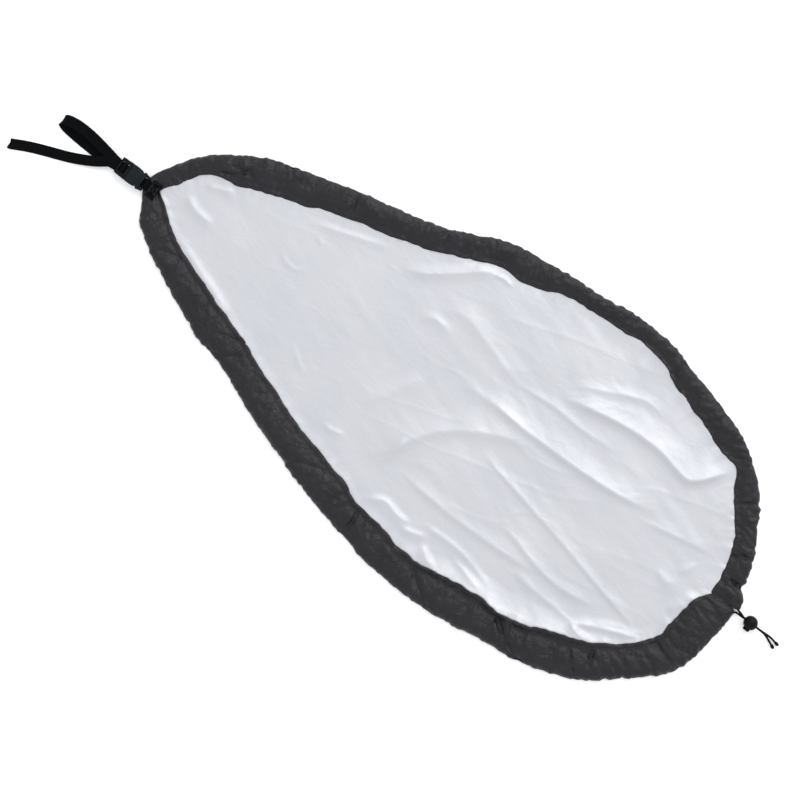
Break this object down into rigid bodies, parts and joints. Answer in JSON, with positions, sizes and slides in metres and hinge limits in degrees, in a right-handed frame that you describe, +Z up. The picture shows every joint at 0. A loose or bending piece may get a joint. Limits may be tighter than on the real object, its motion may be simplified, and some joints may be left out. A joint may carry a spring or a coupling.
{
  "type": "drawcord cockpit cover",
  "caption": "Teardrop sheet of silver coated cloth in a dark gathered drawcord casing, with a cord lock at its wide end and a buckled webbing tether at its narrow end.",
  "frame": {"origin": "on the ground under the middle of the box of the laid-out cover and its tether, without the free cord ends and their lock", "axes": "+X along the cover from its narrow, buckled end to its wide end, +Z up from the ground it lies on"},
  "size_m": [1.2546, 0.4921, 0.02],
  "materials": {
    "silver_cloth": "satin silver coating on a fine plain weave",
    "casing_cloth": "dark coated nylon taffeta with a soft sheen",
    "webbing": "black woven webbing",
    "buckle_plastic": "moulded acetal, satin",
    "lock_plastic": "moulded nylon, satin",
    "cord": "braided elastic cord",
    "spring_steel": "drawn wire"
  },
  "bodies": {
    "cover": {"panel": "silver_cloth", "casing_left": "casing_cloth", "casing_right": "casing_cloth", "drawcord_loop": "cord", "drawcord_end_a": "cord", "drawcord_end_b": "cord", "cord_tip_a": "cord", "cord_tip_b": "cord", "anchor_patch": "webbing", "female_tab": "webbing", "tether_anchor": "webbing"},
    "socket": {"buckle_female": "buckle_plastic"},
    "plug": {"buckle_male": "buckle_plastic", "tether_webbing": "webbing"},
    "left_prong": {"prong_left": "buckle_plastic"},
    "right_prong": {"prong_right": "buckle_plastic"},
    "cord_lock": {"lock_body": "lock_plastic", "lock_spring": "spring_steel"},
    "lock_button": {"lock_plunger": "lock_plastic"}
  },
  "joints": [
    {"name": "buckle_lift", "type": "hinge", "parent": "cover", "child": "socket", "pos_m": [-0.4065, -0.011, 0.0106], "axis": [0, 1, 0], "range_deg": [0, 110]},
    {"name": "plug_release", "type": "slide", "parent": "socket", "child": "plug", "axis": [-1, 0, 0], "range_m": [0, 0.022], "deforming": ["prong_left", "prong_right"]},
    {"name": "left_prong_squeeze", "type": "hinge", "parent": "plug", "child": "left_prong", "pos_m": [-0.434, -0.018, 0.0106], "axis": [0, 0, 1], "range_deg": [0, 10], "stiffness_Nm_per_rad": 0.05, "springref_deg": -2.86},
    {"name": "right_prong_squeeze", "type": "hinge", "parent": "plug", "child": "right_prong", "pos_m": [-0.434, -0.004, 0.0106], "axis": [0, 0, -1], "range_deg": [0, 10], "stiffness_Nm_per_rad": 0.05, "springref_deg": -2.86},
    {"name": "lock_travel", "type": "slide", "parent": "cover", "child": "cord_lock", "axis": [1, 0, 0], "range_m": [-0.002, 0.006]},
    {"name": "plunger_press", "type": "slide", "parent": "cord_lock", "child": "lock_button", "axis": [0, 1, 0], "range_m": [0, 0.0024], "stiffness_N_per_m": 1500, "springref_m": -0.002, "deforming": ["lock_spring"]}
  ]
}
